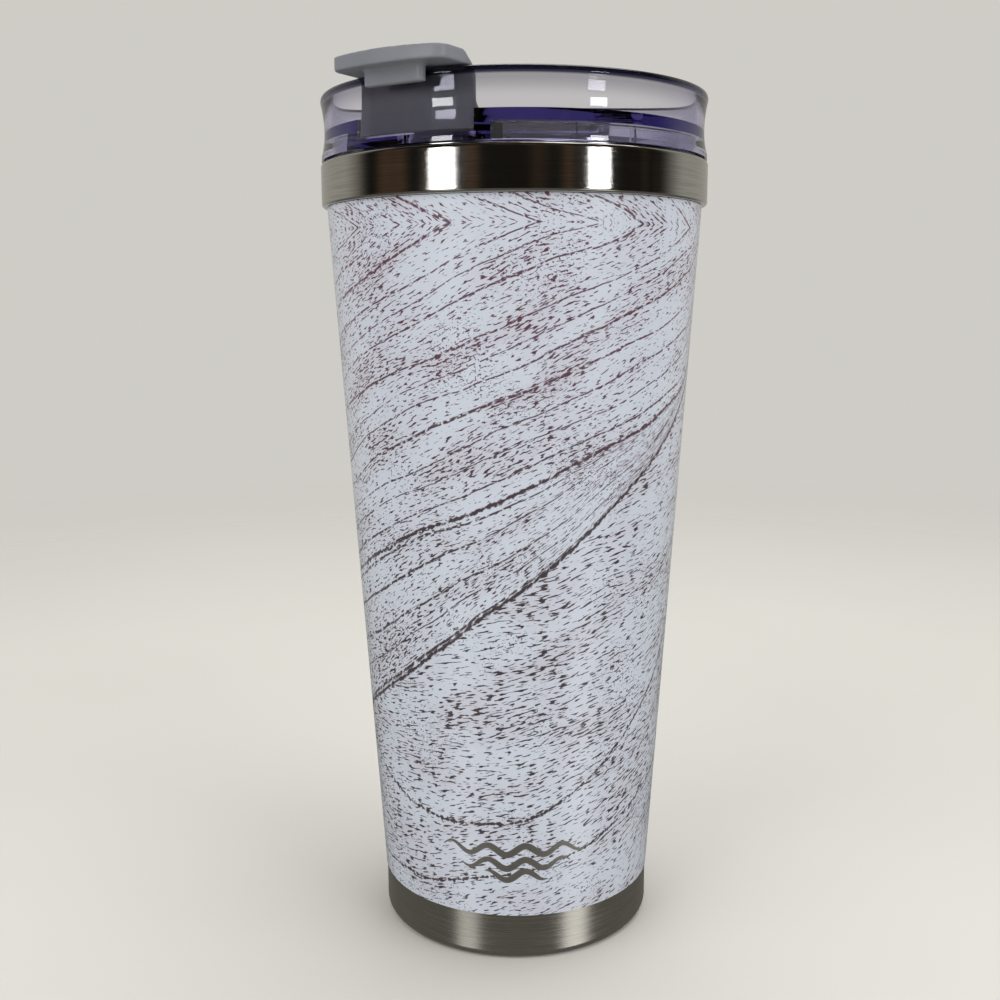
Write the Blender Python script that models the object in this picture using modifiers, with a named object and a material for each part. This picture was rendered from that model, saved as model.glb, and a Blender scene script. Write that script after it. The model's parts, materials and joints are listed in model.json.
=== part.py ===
"""Insulated travel mug: double-wall steel body, printed wrap, push-in lid and flip cap.

The mug stands on z = 0 with its axis on Z. The flip cap's lip points to -Y and its
hinge lies along X. Sizes are in millimetres and go to Blender in metres.
"""

import math

import bmesh
import bpy
from mathutils import Matrix, Vector

MM = 0.001
SEGMENTS = 48                # facets round every large turned piece
SMALL_SEGMENTS = 24          # facets round pins, pads and holes
GAP = 0.3                    # clearance between pieces that touch
MERGE = 0.00001

# Body
BAND_R = 44.15               # polished band at the mouth
BAND_IN_R = 43.4
BAND_TOP_Z = 179.3
BAND_BOTTOM_Z = 169.7
WRAP_TOP_R = 43.0
WRAP_BOTTOM_R = 32.6
WRAP_T = 0.3
FOOT_R = 32.4                # brushed band at the foot
FOOT_TOP_Z = 10.9
FOOT_IN_R = 31.2
FOOT_LIP_R = 29.3            # inner edge of the turned-in foot
SHELL_T = 0.6
LINER_T = 0.5
WALL_T = 4.2                 # wrap's surface to the drinking space
CUP_FLOOR_Z = 13.0
SHOULDER_Z = 164.5           # liner widens above this to take the lid's plug
MOUTH_R = 40.4
RECESS = 0.8                 # base cover's height above the table
BOTTOM_Z = 6.0               # underside of the dish that closes the vacuum space
EVACUATION_R = 0.8
SEAL_R = 2.6
GETTER_R = 5.0
GETTER_X = 14.0

# Lid
LID_R = 43.9                 # rim and flange
WAIST_R = 43.15
LID_BOTTOM_Z = BAND_TOP_Z + 0.35
LID_TOP_Z = 193.7
WAIST_Z = 186.0
COLLAR_IN_R = 41.1
FLOOR_TOP_Z = 185.9
FLOOR_BOTTOM_Z = 183.4
UNDER_R = 41.2               # collar's inner wall below the floor, round the plug ring
PLUG_R = 39.4
PLUG_IN_R = 37.6
PLUG_BOTTOM_Z = 168.0
PLUG_STEP_Z = BAND_TOP_Z + 0.4
GROOVE_R = 38.3
GROOVE_Z = (171.0, 176.0)

# Pocket for the flip cap, sunk in the lid's floor
POCKET_HALF_W = 13.95
POCKET_FRONT_R = 40.8
POCKET_REAR_Y = 11.3
POCKET_FLOOR_Z = 181.3
POCKET_WALL_T = 3.2
TUB_BOTTOM_Z = 179.9
DRINK_Y = -25.5
DRINK_R = 8.2
VENT_Y = -4.0
VENT_R = 1.5
HOLE_CUT_Z = (TUB_BOTTOM_Z - 1.9, POCKET_FLOOR_Z + 1.1)
NOTCH_Y = (-45.0, -30.0)     # span of the notch in the plug ring where the pocket passes
NOTCH_TOP_Z = 190.0

# Hinge and flip cap
HINGE_Y = 8.0
HINGE_Z = 184.0
PIN_R = 1.2
PIN_HALF_L = 17.4
BOSS_R = 2.9
CAP_HALF_W = 13.6
CAP_TOP_Z = 196.9
LIP_R = 50.5                 # lip's front edge, round the mug's axis
LIP_BOTTOM_Z = LID_TOP_Z + GAP
BLOCK_FRONT_R = 40.4         # the cap's front wall, just inside the collar
BLOCK_REAR_Y = -36.8
LEVER_REAR_Y = -41.2          # top face ends here and slopes down to the block's rear
SLOPE_LOW_Z = 193.2
BLOCK_BOTTOM_Z = 181.65
PLATE_BOTTOM_Z = 183.0
BARREL_R = 2.3
TAB_HALF_W = 7.1
TAB_Y = (-46.75, -44.9)
TAB_BOTTOM_Z = 190.7
TRIM_Z = (170.0, 205.0)      # cutters for the cap reach past its top and bottom
TRIM_R = 60.0                # and past its lip
PAD_TOP_Z = PLATE_BOTTOM_Z - GAP
STEM_TOP_Z = 184.8
STOPPER_R = 9.3
STOPPER_STEM_R = 2.2
STOPPER_TIP_Z = 179.6
VENT_PAD_R = 3.2
VENT_STEM_R = 1.2


def clear_scene():
    for obj in list(bpy.data.objects):
        bpy.data.objects.remove(obj, do_unlink=True)


def new_collection(name):
    group = bpy.data.collections.new(name)
    bpy.context.scene.collection.children.link(group)
    return group


def material(name, colour, roughness, metallic=0.0, transmission=0.0):
    mat = bpy.data.materials.new(name)
    mat.use_nodes = True
    shader = mat.node_tree.nodes["Principled BSDF"]
    shader.inputs["Base Color"].default_value = (*colour, 1.0)
    shader.inputs["Roughness"].default_value = roughness
    shader.inputs["Metallic"].default_value = metallic
    shader.inputs["Transmission Weight"].default_value = transmission
    mat.diffuse_color = (*colour, 1.0)
    return mat


def rounded(corners, closed=True, steps=3):
    """Outline through (u, v, radius) corners, each with a radius cut to an arc."""
    points = []
    count = len(corners)
    for i, (u, v, radius) in enumerate(corners):
        here = Vector((u, v))
        if radius <= 0 or (not closed and i in (0, count - 1)):
            points.append(here)
            continue
        back = (Vector(corners[i - 1][:2]) - here).normalized()
        ahead = (Vector(corners[(i + 1) % count][:2]) - here).normalized()
        half = back.angle(ahead) / 2
        reach = radius / math.tan(half)
        centre = here + (back + ahead).normalized() * (radius / math.sin(half))
        start = here + back * reach - centre
        sweep = start.angle_signed(here + ahead * reach - centre)
        for k in range(steps + 1):
            points.append(centre + Matrix.Rotation(-sweep * k / steps, 2) @ start)
    return points


def arc(centre, radius, start_deg, end_deg, steps):
    """Points on an arc, angles in degrees from +U towards +V."""
    turns = [math.radians(start_deg + (end_deg - start_deg) * k / steps) for k in range(steps + 1)]
    return [Vector((centre[0] + radius * math.cos(a), centre[1] + radius * math.sin(a))) for a in turns]


def finish(obj, mat, group, parent=None, smooth_deg=35):
    """Give an object its material, collection, parent and smooth shading."""
    for owner in list(obj.users_collection):
        owner.objects.unlink(obj)
    group.objects.link(obj)
    if mat is not None:
        obj.data.materials.clear()
        obj.data.materials.append(mat)
        obj.data.shade_smooth()
        obj.data.set_sharp_from_angle(angle=math.radians(smooth_deg))
    if parent is not None:
        obj.location -= parent.location
        obj.parent = parent
    return obj


def turned(name, profile, closed, segments=SEGMENTS, centre=(0.0, 0.0)):
    """Solid of revolution about a vertical axis; the profile runs down its outer side."""
    mesh = bpy.data.meshes.new(name)
    verts = [(p[0] * MM, 0.0, p[1] * MM) for p in profile]
    edges = [(i, i + 1) for i in range(len(verts) - 1)]
    if closed:
        edges.append((len(verts) - 1, 0))
    mesh.from_pydata(verts, edges, [])
    obj = bpy.data.objects.new(name, mesh)
    obj.location = (centre[0] * MM, centre[1] * MM, 0.0)
    screw = obj.modifiers.new("Turn", "SCREW")
    screw.axis = "Z"
    screw.angle = math.tau
    screw.steps = segments
    screw.render_steps = segments
    screw.use_merge_vertices = True
    screw.merge_threshold = MERGE
    screw.use_smooth_shade = True
    return obj


def flat_to_mesh(name, outline, low, high, across_x=False):
    """Closed outline extruded from low to high, along Z or, with across_x, along X."""
    curve = bpy.data.curves.new(name, "CURVE")
    curve.dimensions = "2D"
    curve.fill_mode = "BOTH"
    curve.extrude = (high - low) / 2 * MM
    spline = curve.splines.new("POLY")
    spline.points.add(len(outline) - 1)
    for point, (u, v) in zip(spline.points, outline):
        point.co = (u * MM, v * MM, 0.0, 1.0)
    spline.use_cyclic_u = True
    guide = bpy.data.objects.new(name + "_outline", curve)
    middle = (low + high) / 2 * MM
    if across_x:
        # Outline axes u, v become world Y, Z.
        guide.matrix_world = Matrix(((0, 0, 1, middle), (1, 0, 0, 0), (0, 1, 0, 0), (0, 0, 0, 1)))
    else:
        guide.location.z = middle
    bpy.context.scene.collection.objects.link(guide)
    bpy.context.view_layer.update()
    graph = bpy.context.evaluated_depsgraph_get()
    mesh = bpy.data.meshes.new_from_object(guide.evaluated_get(graph))
    mesh.name = name
    welded = bmesh.new()
    welded.from_mesh(mesh)
    bmesh.ops.remove_doubles(welded, verts=welded.verts, dist=MERGE)
    bmesh.ops.recalc_face_normals(welded, faces=welded.faces)
    welded.to_mesh(mesh)
    welded.free()
    obj = bpy.data.objects.new(name, mesh)
    obj.matrix_world = guide.matrix_world.copy()
    bpy.data.objects.remove(guide, do_unlink=True)
    return obj


def cylinder(name, radius, low, high, centre, across_x=False, segments=SMALL_SEGMENTS):
    """Capped cylinder along Z from low to high, or along X with centre as (y, z)."""
    solid = bmesh.new()
    bmesh.ops.create_cone(solid, cap_ends=True, segments=segments, radius1=radius * MM,
                          radius2=radius * MM, depth=(high - low) * MM)
    mesh = bpy.data.meshes.new(name)
    solid.to_mesh(mesh)
    solid.free()
    obj = bpy.data.objects.new(name, mesh)
    middle = (low + high) / 2 * MM
    if across_x:
        obj.rotation_euler = (0.0, math.pi / 2, 0.0)
        obj.location = (middle, centre[0] * MM, centre[1] * MM)
    else:
        obj.location = (centre[0] * MM, centre[1] * MM, middle)
    return obj


def box(name, low, high):
    """Box between two opposite corners."""
    solid = bmesh.new()
    bmesh.ops.create_cube(solid, size=1.0)
    size = [(b - a) * MM for a, b in zip(low, high)]
    bmesh.ops.scale(solid, vec=size, verts=solid.verts)
    mesh = bpy.data.meshes.new(name)
    solid.to_mesh(mesh)
    solid.free()
    obj = bpy.data.objects.new(name, mesh)
    obj.location = [(a + b) / 2 * MM for a, b in zip(low, high)]
    return obj


def boolean(target, tool, operation, tools, parent=None):
    """Cut, join or intersect target with tool, and put tool in the tools collection."""
    finish(tool, None, tools, parent)
    tool.hide_render = True
    tool.display_type = "WIRE"
    step = target.modifiers.new(tool.name, "BOOLEAN")
    step.operation = operation
    step.object = tool
    step.solver = "EXACT"


def wrap_radius(z):
    """Outer radius of the printed wrap at height z."""
    share = (z - FOOT_TOP_Z) / (BAND_BOTTOM_Z - FOOT_TOP_Z)
    return WRAP_BOTTOM_R + (WRAP_TOP_R - WRAP_BOTTOM_R) * share


def outer_shell():
    under_wrap = WRAP_T + GAP
    cone_in = under_wrap + SHELL_T
    cone_top_z = BAND_BOTTOM_Z - 1.0
    profile = rounded([
        (BAND_IN_R, BAND_TOP_Z, 0),
        (BAND_R, BAND_TOP_Z, 0.9),
        (BAND_R, BAND_BOTTOM_Z, 0.7),
        (wrap_radius(BAND_BOTTOM_Z) - under_wrap, BAND_BOTTOM_Z, 0),
        (wrap_radius(FOOT_TOP_Z) - under_wrap, FOOT_TOP_Z, 0),
        (FOOT_R, FOOT_TOP_Z, 0),
        (FOOT_R, 0.0, 2.0),
        (FOOT_LIP_R, 0.0, 0),
        (FOOT_LIP_R, SHELL_T, 0),
        (FOOT_IN_R, SHELL_T, 1.4),
        (wrap_radius(FOOT_TOP_Z) - cone_in, FOOT_TOP_Z, 0),
        (wrap_radius(cone_top_z) - cone_in, cone_top_z, 0),
        (BAND_IN_R, BAND_BOTTOM_Z + 1.2, 0),
    ])
    return turned("outer_shell", profile, closed=True)


def printed_wrap():
    top_z = BAND_BOTTOM_Z - GAP
    bottom_z = FOOT_TOP_Z + GAP
    profile = [
        (wrap_radius(top_z), top_z),
        (wrap_radius(bottom_z), bottom_z),
        (wrap_radius(bottom_z) - WRAP_T, bottom_z),
        (wrap_radius(top_z) - WRAP_T, top_z),
    ]
    return turned("printed_wrap", profile, closed=True)


def inner_liner():
    rim_z = BAND_TOP_Z - GAP
    flange_r = BAND_IN_R - GAP
    floor_r = wrap_radius(CUP_FLOOR_Z) - WALL_T
    shoulder_r = wrap_radius(SHOULDER_Z) - WALL_T
    profile = rounded([
        (0.0, CUP_FLOOR_Z, 0),
        (floor_r, CUP_FLOOR_Z, 6.0),
        (shoulder_r, SHOULDER_Z, 0),
        (MOUTH_R, SHOULDER_Z + 2.0, 0),
        (MOUTH_R, rim_z, 0.7),
        (flange_r, rim_z, 0),
        (flange_r, rim_z - LINER_T, 0),
        (MOUTH_R + LINER_T, rim_z - LINER_T, 0),
        (MOUTH_R + LINER_T, SHOULDER_Z + 1.7, 0),
        (shoulder_r + LINER_T, SHOULDER_Z - 0.3, 0),
        (floor_r + LINER_T, CUP_FLOOR_Z - LINER_T, 6.6),
        (0.0, CUP_FLOOR_Z - LINER_T, 0),
    ], closed=False)
    return turned("inner_liner", profile, closed=False)


def outer_bottom():
    edge_r = FOOT_IN_R - GAP
    top_z = BOTTOM_Z + SHELL_T
    skirt_z = 1.9
    profile = rounded([
        (EVACUATION_R, top_z, 0),
        (edge_r, top_z, 1.4),
        (edge_r, skirt_z, 0),
        (edge_r - SHELL_T, skirt_z, 0),
        (edge_r - SHELL_T, BOTTOM_Z, 0.8),
        (EVACUATION_R, BOTTOM_Z, 0),
    ])
    return turned("outer_bottom", profile, closed=True)


def base_cover():
    edge_r = FOOT_LIP_R - GAP
    profile = rounded([
        (0.0, RECESS + SHELL_T, 0),
        (edge_r, RECESS + SHELL_T, 0),
        (edge_r, RECESS, 0.3),
        (0.0, RECESS, 0),
    ], closed=False)
    return turned("base_cover", profile, closed=False)


def vacuum_seal():
    top_z = BOTTOM_Z - GAP
    low_z = top_z - 1.3
    profile = rounded([(0.0, top_z, 0), (SEAL_R, top_z, 0), (SEAL_R, low_z, 1.1), (0.0, low_z, 0)],
                      closed=False)
    return turned("vacuum_seal", profile, closed=False, segments=SMALL_SEGMENTS)


def getter():
    low_z = BOTTOM_Z + SHELL_T + GAP
    top_z = low_z + 1.4
    profile = rounded([(0.0, top_z, 0), (GETTER_R, top_z, 0.4), (GETTER_R, low_z, 0), (0.0, low_z, 0)],
                      closed=False)
    return turned("getter", profile, closed=False, segments=SMALL_SEGMENTS, centre=(GETTER_X, 0.0))


def spool(low, high, steps):
    """Collar's outer curve from z = high down to z = low: narrow at the waist."""
    points = []
    for k in range(steps + 1):
        z = high + (low - high) * k / steps
        span = (high if z > WAIST_Z else low) - WAIST_Z
        points.append((WAIST_R + (LID_R - WAIST_R) * ((z - WAIST_Z) / span) ** 2, z))
    return points


def half_round(half_w, front_r, rear_y):
    """Plan outline with straight sides, a square rear and an arc of the lid as its front."""
    front_deg = math.degrees(math.asin(half_w / front_r))
    return arc((0, 0), front_r, -90 - front_deg, -90 + front_deg, 8) + [(half_w, rear_y), (-half_w, rear_y)]


def lid_body(tools, parent):
    inside = rounded([
        (0.0, FLOOR_TOP_Z, 0),
        (COLLAR_IN_R, FLOOR_TOP_Z, 0),
        (COLLAR_IN_R + 0.7, LID_TOP_Z, 0.8),
        (LID_R - 0.15, LID_TOP_Z, 0.7),
        (LID_R, LID_TOP_Z - 1.2, 0),
    ], closed=False)
    outside = spool(LID_BOTTOM_Z + 1.0, LID_TOP_Z - 1.2, 8)[1:]
    below = rounded([
        (LID_R, LID_BOTTOM_Z, 0),
        (UNDER_R, LID_BOTTOM_Z, 0),
        (UNDER_R, FLOOR_BOTTOM_Z, 0),
        (0.0, FLOOR_BOTTOM_Z, 0),
    ], closed=False)
    lid = turned("lid_body", inside + outside + below, closed=False)

    tub_half_w = POCKET_HALF_W + POCKET_WALL_T
    tub_rear_y = POCKET_REAR_Y + POCKET_WALL_T
    tub = half_round(tub_half_w, UNDER_R + 0.8, tub_rear_y)
    tub_solid = flat_to_mesh("pocket_tub", tub, TUB_BOTTOM_Z, FLOOR_BOTTOM_Z + 1.0)
    boolean(lid, tub_solid, "UNION", tools, parent)
    axis = (HINGE_Y, HINGE_Z)
    for side, name in ((-1, "boss_left"), (1, "boss_right")):
        ends = sorted((side * (POCKET_HALF_W - 1.0), side * (PIN_HALF_L + 1.6)))
        boss = cylinder(name, BOSS_R, ends[0], ends[1], axis, across_x=True)
        boolean(lid, boss, "UNION", tools, parent)

    pocket = half_round(POCKET_HALF_W, POCKET_FRONT_R, POCKET_REAR_Y)
    cutter = flat_to_mesh("pocket_cutter", pocket, POCKET_FLOOR_Z, LID_TOP_Z - 4.0)
    boolean(lid, cutter, "DIFFERENCE", tools, parent)
    holes = (
        cylinder("drink_cutter", DRINK_R, *HOLE_CUT_Z, (0, DRINK_Y), segments=SEGMENTS),
        cylinder("vent_cutter", VENT_R, *HOLE_CUT_Z, (0, VENT_Y)),
        cylinder("pin_cutter", PIN_R + GAP, -PIN_HALF_L - GAP, PIN_HALF_L + GAP, axis, across_x=True),
    )
    for hole in holes:
        boolean(lid, hole, "DIFFERENCE", tools, parent)
    return lid


def plug_ring(tools, parent):
    """Hollow plug under the lid, notched at the top where the pocket passes."""
    step_r = UNDER_R - GAP
    top_z = FLOOR_BOTTOM_Z - GAP
    profile = rounded([
        (step_r, top_z, 0.4),
        (step_r, PLUG_STEP_Z, 0),
        (PLUG_R, PLUG_STEP_Z, 0),
        (PLUG_R, GROOVE_Z[1], 0),
        (GROOVE_R, GROOVE_Z[1], 0),
        (GROOVE_R, GROOVE_Z[0], 0),
        (PLUG_R, GROOVE_Z[0], 0),
        (PLUG_R, PLUG_BOTTOM_Z, 1.0),
        (PLUG_IN_R, PLUG_BOTTOM_Z, 0),
        (PLUG_IN_R, top_z, 0),
    ])
    ring = turned("plug_ring", profile, closed=True)
    half_w = POCKET_HALF_W + POCKET_WALL_T + GAP
    low = (-half_w, NOTCH_Y[0], TUB_BOTTOM_Z - GAP)
    high = (half_w, NOTCH_Y[1], NOTCH_TOP_Z)
    notch = box("plug_notch", low, high)
    boolean(ring, notch, "DIFFERENCE", tools, parent)
    return ring


def lid_gasket():
    low, high = GROOVE_Z[0] + GAP, GROOVE_Z[1] - GAP
    body_r = PLUG_R + 0.1
    fin_r = MOUTH_R - GAP
    profile = [(body_r, high)]
    for fin_z in (high - 1.0, low + 1.0):
        profile += [(fin_r, fin_z + 0.25), (fin_r, fin_z - 0.25), (body_r, fin_z - 0.6)]
    profile[-1] = (body_r, low)
    profile += [(GROOVE_R + GAP, low), (GROOVE_R + GAP, high)]
    return turned("lid_gasket", profile, closed=True)


def hinge_pin():
    return cylinder("hinge_pin", PIN_R, -PIN_HALF_L, PIN_HALF_L, (HINGE_Y, HINGE_Z), across_x=True)


def flip_cap(tools, parent):
    barrel = arc((HINGE_Y, HINGE_Z), BARREL_R, -115, 55, 10)
    side = rounded([
        (-LIP_R - 2.0, CAP_TOP_Z, 0),
        (-LIP_R - 2.0, LIP_BOTTOM_Z, 0),
        (-BLOCK_FRONT_R - 1.0, LIP_BOTTOM_Z, 0),
        (-BLOCK_FRONT_R - 1.0, BLOCK_BOTTOM_Z, 0),
        (BLOCK_REAR_Y, BLOCK_BOTTOM_Z, 0.5),
        (BLOCK_REAR_Y, PLATE_BOTTOM_Z, 0),
        (barrel[0].x - 0.6, PLATE_BOTTOM_Z, 0),
    ], closed=False) + barrel + rounded([
        (HINGE_Y, FLOOR_TOP_Z, 0),
        (BLOCK_REAR_Y, FLOOR_TOP_Z, 2.4),
        (BLOCK_REAR_Y, SLOPE_LOW_Z, 1.6),
        (LEVER_REAR_Y, CAP_TOP_Z, 2.2),
        (-LIP_R - 2.0, CAP_TOP_Z, 0),
    ], closed=False, steps=5)[:-1]
    cap = flat_to_mesh("flip_cap", side, -CAP_HALF_W - 4.0, CAP_HALF_W + 4.0, across_x=True)

    corner_r = 2.6
    front_deg = math.degrees(math.asin((CAP_HALF_W - corner_r) / (LIP_R - corner_r)))
    front = arc((0, 0), LIP_R, -90 - front_deg, -90 + front_deg, 10)
    corner_y = -(LIP_R - corner_r) * math.cos(math.radians(front_deg))
    right = arc((CAP_HALF_W - corner_r, corner_y), corner_r, -90 + front_deg, 0, 4)[1:]
    left = [Vector((-p.x, p.y)) for p in reversed(right)]
    rear_y = HINGE_Y + BARREL_R + 1.0
    plan = front + right + [(CAP_HALF_W, rear_y), (-CAP_HALF_W, rear_y)] + left
    boolean(cap, flat_to_mesh("cap_plan", plan, *TRIM_Z), "INTERSECT", tools, parent)

    ring = [
        (TRIM_R, LIP_BOTTOM_Z),
        (TRIM_R, TRIM_Z[0]),
        (BLOCK_FRONT_R, TRIM_Z[0]),
        (BLOCK_FRONT_R, LIP_BOTTOM_Z),
    ]
    boolean(cap, turned("collar_cutter", ring, closed=True), "DIFFERENCE", tools, parent)
    tab = rounded([
        (-TAB_HALF_W, TAB_Y[0], 0.8),
        (TAB_HALF_W, TAB_Y[0], 0.8),
        (TAB_HALF_W, TAB_Y[1], 0),
        (-TAB_HALF_W, TAB_Y[1], 0),
    ])
    catch = flat_to_mesh("catch_tab", tab, TAB_BOTTOM_Z, LIP_BOTTOM_Z + 1.2)
    boolean(cap, catch, "UNION", tools, parent)
    past_sides = CAP_HALF_W + 6.4
    socket_z = (BLOCK_BOTTOM_Z - 1.65, STEM_TOP_Z + GAP)
    holes = (
        cylinder("barrel_cutter", PIN_R + GAP, -past_sides, past_sides, (HINGE_Y, HINGE_Z), across_x=True),
        cylinder("stopper_socket", STOPPER_STEM_R + GAP, *socket_z, (0, DRINK_Y)),
        cylinder("vent_socket", VENT_STEM_R + GAP, *socket_z, (0, VENT_Y)),
    )
    for hole in holes:
        boolean(cap, hole, "DIFFERENCE", tools, parent)
    return cap


def cap_stopper():
    profile = rounded([
        (0.0, STEM_TOP_Z, 0),
        (STOPPER_STEM_R, STEM_TOP_Z, 0),
        (STOPPER_STEM_R, PAD_TOP_Z, 0),
        (STOPPER_R, PAD_TOP_Z, 0.3),
        (STOPPER_R, BLOCK_BOTTOM_Z, 0),
        (DRINK_R - 0.5, BLOCK_BOTTOM_Z, 0),
        (DRINK_R - 1.1, STOPPER_TIP_Z, 0.6),
        (0.0, STOPPER_TIP_Z, 0),
    ], closed=False)
    return turned("cap_stopper", profile, closed=False, segments=32, centre=(0.0, DRINK_Y))


def vent_seal():
    profile = [
        (0.0, STEM_TOP_Z),
        (VENT_STEM_R, STEM_TOP_Z),
        (VENT_STEM_R, PAD_TOP_Z),
        (VENT_PAD_R, PAD_TOP_Z),
        (VENT_PAD_R, BLOCK_BOTTOM_Z),
        (0.0, BLOCK_BOTTOM_Z),
    ]
    return turned("vent_seal", profile, closed=False, segments=SMALL_SEGMENTS, centre=(0.0, VENT_Y))


def empty(name, location, group, parent=None):
    """Marks a joint's axis."""
    marker = bpy.data.objects.new(name, None)
    marker.location = [c * MM for c in location]
    marker.empty_display_size = 0.01
    group.objects.link(marker)
    marker.parent = parent
    return marker


def main():
    clear_scene()
    parts = new_collection("insulated_travel_mug")
    tools = new_collection("cutters")

    polished = material("polished_steel", (0.60, 0.58, 0.55), 0.18, metallic=1.0)
    brushed = material("brushed_steel", (0.56, 0.54, 0.51), 0.34, metallic=1.0)
    print_film = material("wood_print", (0.62, 0.64, 0.70), 0.38)
    violet = material("violet_clear_plastic", (0.30, 0.28, 0.62), 0.06, transmission=0.9)
    grey = material("cool_grey_plastic", (0.21, 0.22, 0.25), 0.42)
    silicone = material("silicone", (0.72, 0.72, 0.74), 0.55)
    solder = material("glass_solder", (0.10, 0.11, 0.10), 0.25)
    powder = material("getter_powder", (0.18, 0.17, 0.17), 0.80, metallic=0.6)

    lid_axis = empty("lid_lift_axis", (0.0, 0.0, LID_BOTTOM_Z), parts)
    cap_axis = empty("cap_hinge_axis", (0.0, HINGE_Y, HINGE_Z), parts)

    for obj, mat in (
        (outer_shell(), brushed),
        (printed_wrap(), print_film),
        (inner_liner(), polished),
        (outer_bottom(), brushed),
        (base_cover(), brushed),
        (vacuum_seal(), solder),
        (getter(), powder),
    ):
        finish(obj, mat, parts)
    for obj, mat in (
        (lid_body(tools, lid_axis), violet),
        (plug_ring(tools, lid_axis), violet),
        (lid_gasket(), silicone),
        (hinge_pin(), polished),
    ):
        finish(obj, mat, parts, lid_axis)
    for obj, mat in (
        (flip_cap(tools, cap_axis), grey),
        (cap_stopper(), silicone),
        (vent_seal(), silicone),
    ):
        finish(obj, mat, parts, cap_axis)


main()
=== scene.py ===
"""Looks of the insulated travel mug: fine meshes, materials, light and camera.

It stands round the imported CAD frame. Lengths are in metres. The mug's axis is Z, and the flip
cap's lip points to -Y.
"""

import json
import math

import bmesh
import bpy
from mathutils import Matrix, Vector

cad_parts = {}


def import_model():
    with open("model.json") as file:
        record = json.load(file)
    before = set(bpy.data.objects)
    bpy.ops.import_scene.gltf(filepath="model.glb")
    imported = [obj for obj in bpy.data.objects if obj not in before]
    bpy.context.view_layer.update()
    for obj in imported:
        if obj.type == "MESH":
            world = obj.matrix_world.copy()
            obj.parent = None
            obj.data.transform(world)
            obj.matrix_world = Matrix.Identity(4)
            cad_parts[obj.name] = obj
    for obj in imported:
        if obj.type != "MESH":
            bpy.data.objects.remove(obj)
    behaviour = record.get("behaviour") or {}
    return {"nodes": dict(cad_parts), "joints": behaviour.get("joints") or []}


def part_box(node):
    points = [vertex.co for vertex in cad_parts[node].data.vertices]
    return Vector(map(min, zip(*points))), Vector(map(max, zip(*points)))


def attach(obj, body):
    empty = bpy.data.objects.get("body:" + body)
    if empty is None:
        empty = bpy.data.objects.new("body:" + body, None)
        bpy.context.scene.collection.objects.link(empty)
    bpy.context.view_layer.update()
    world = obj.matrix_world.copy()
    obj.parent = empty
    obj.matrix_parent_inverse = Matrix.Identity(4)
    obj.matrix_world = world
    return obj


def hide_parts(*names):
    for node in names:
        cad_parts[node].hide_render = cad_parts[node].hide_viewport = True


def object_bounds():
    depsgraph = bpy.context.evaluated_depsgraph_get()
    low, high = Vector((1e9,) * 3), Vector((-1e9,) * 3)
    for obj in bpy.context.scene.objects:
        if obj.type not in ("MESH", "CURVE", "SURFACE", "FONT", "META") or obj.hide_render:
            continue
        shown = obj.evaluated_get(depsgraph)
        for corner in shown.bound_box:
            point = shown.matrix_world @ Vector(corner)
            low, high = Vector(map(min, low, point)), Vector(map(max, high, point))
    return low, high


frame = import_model()
cad_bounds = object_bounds()

MM = 0.001
UP = Vector((0.0, 0.0, 1.0))

# Meshes
FINE = 192                   # facets round a large turned piece
SMALL = 64                   # facets round pins, pads and holes
WELD = 0.000002              # points closer than this are one point
SHARP = math.radians(35)     # an edge that turns further stays sharp
CLEAR = 0.3 * MM             # gap that the CAD keeps between pieces
ARC_TURN = (math.radians(1.0), math.radians(40.0))   # how far an arc's profile turns at a point
FLAT_RATIO = 2.5             # a side so much longer than its neighbours is flat, not part of an arc
LONG_SIDE = 1.0 * MM         # longer sides of a profile are held flat
HOLD = 0.05 * MM             # from a long side's end to the point that holds it

# Lid and flip cap
POCKET_GAP = 0.35 * MM       # between the flip cap and its pocket
POCKET_REAR = 1.0 * MM       # from the flip cap to the pocket's rear wall
POCKET_HEIGHT = 8.4 * MM
POCKET_FRONT_WALL = 0.3 * MM     # how far the pocket stops short of the collar's inner wall
TUB_WALL = 3.2 * MM
TUB_BOTTOM = 1.4 * MM
TUB_LAP = (0.9 * MM, 1.0 * MM)   # how far the tub runs into the collar and the lid's floor
BOSS_R = 2.9 * MM
BOSS_PROUD = 1.0 * MM        # how far a hinge boss stands into the pocket
BOSS_CAP = 1.6 * MM          # plastic beyond the hinge pin's end
BOSS_SOFT = 0.4 * MM
DRINK_R = 8.2 * MM
VENT_R = 1.5 * MM
OVERSHOOT = 1.0 * MM         # how far a cutting tool runs past what it cuts
LUGS = ((53.0, 4.4), (69.0, 0.8))    # (degrees from the lip, width in millimetres)
LUG_DEPTHS = (3.6 * MM, 0.5 * MM)    # lug's lower and upper end, below the plug ring's top
LUG_PROUD = 0.9 * MM
LUG_ROOT = 0.5 * MM
NOTCH_SIDE = 3.85 * MM       # from the flip cap's side to the notch's
NOTCH_DROP = 2.05 * MM       # from the flip cap's underside to the notch's
NOTCH_Y = (-0.045, -0.030)
NOTCH_TOP_Z = 0.19
CAP_VOXEL = 0.3 * MM
CAP_SMOOTHING = 6
LIP_UNDERSIDE = 0.8 * MM     # above the lid's rim
LIP_CROWN = 0.2 * MM
PIN_SOFT = 0.25 * MM

# Printed film and its ornament; the waves' own measures are in millimetres
FILM_REACH = 0.24 * MM       # how far the film is drawn out at each end
WAVES = ((34.0, 16.0), (25.0, 12.6), (14.0, 9.8))    # (length, height above the film's foot)
WAVE_PITCH = 8.5
WAVE_SWING = 1.1
WAVE_HALF = 0.78             # half the width of a wave's stroke in its middle
WAVE_TIP = 0.05              # least value of the sine that narrows the stroke towards its tips
WAVE_TAPER = 0.6             # power of that sine
WAVE_PROUD = 0.07            # above the film
WAVE_SUNK = 0.1              # below the film

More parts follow.
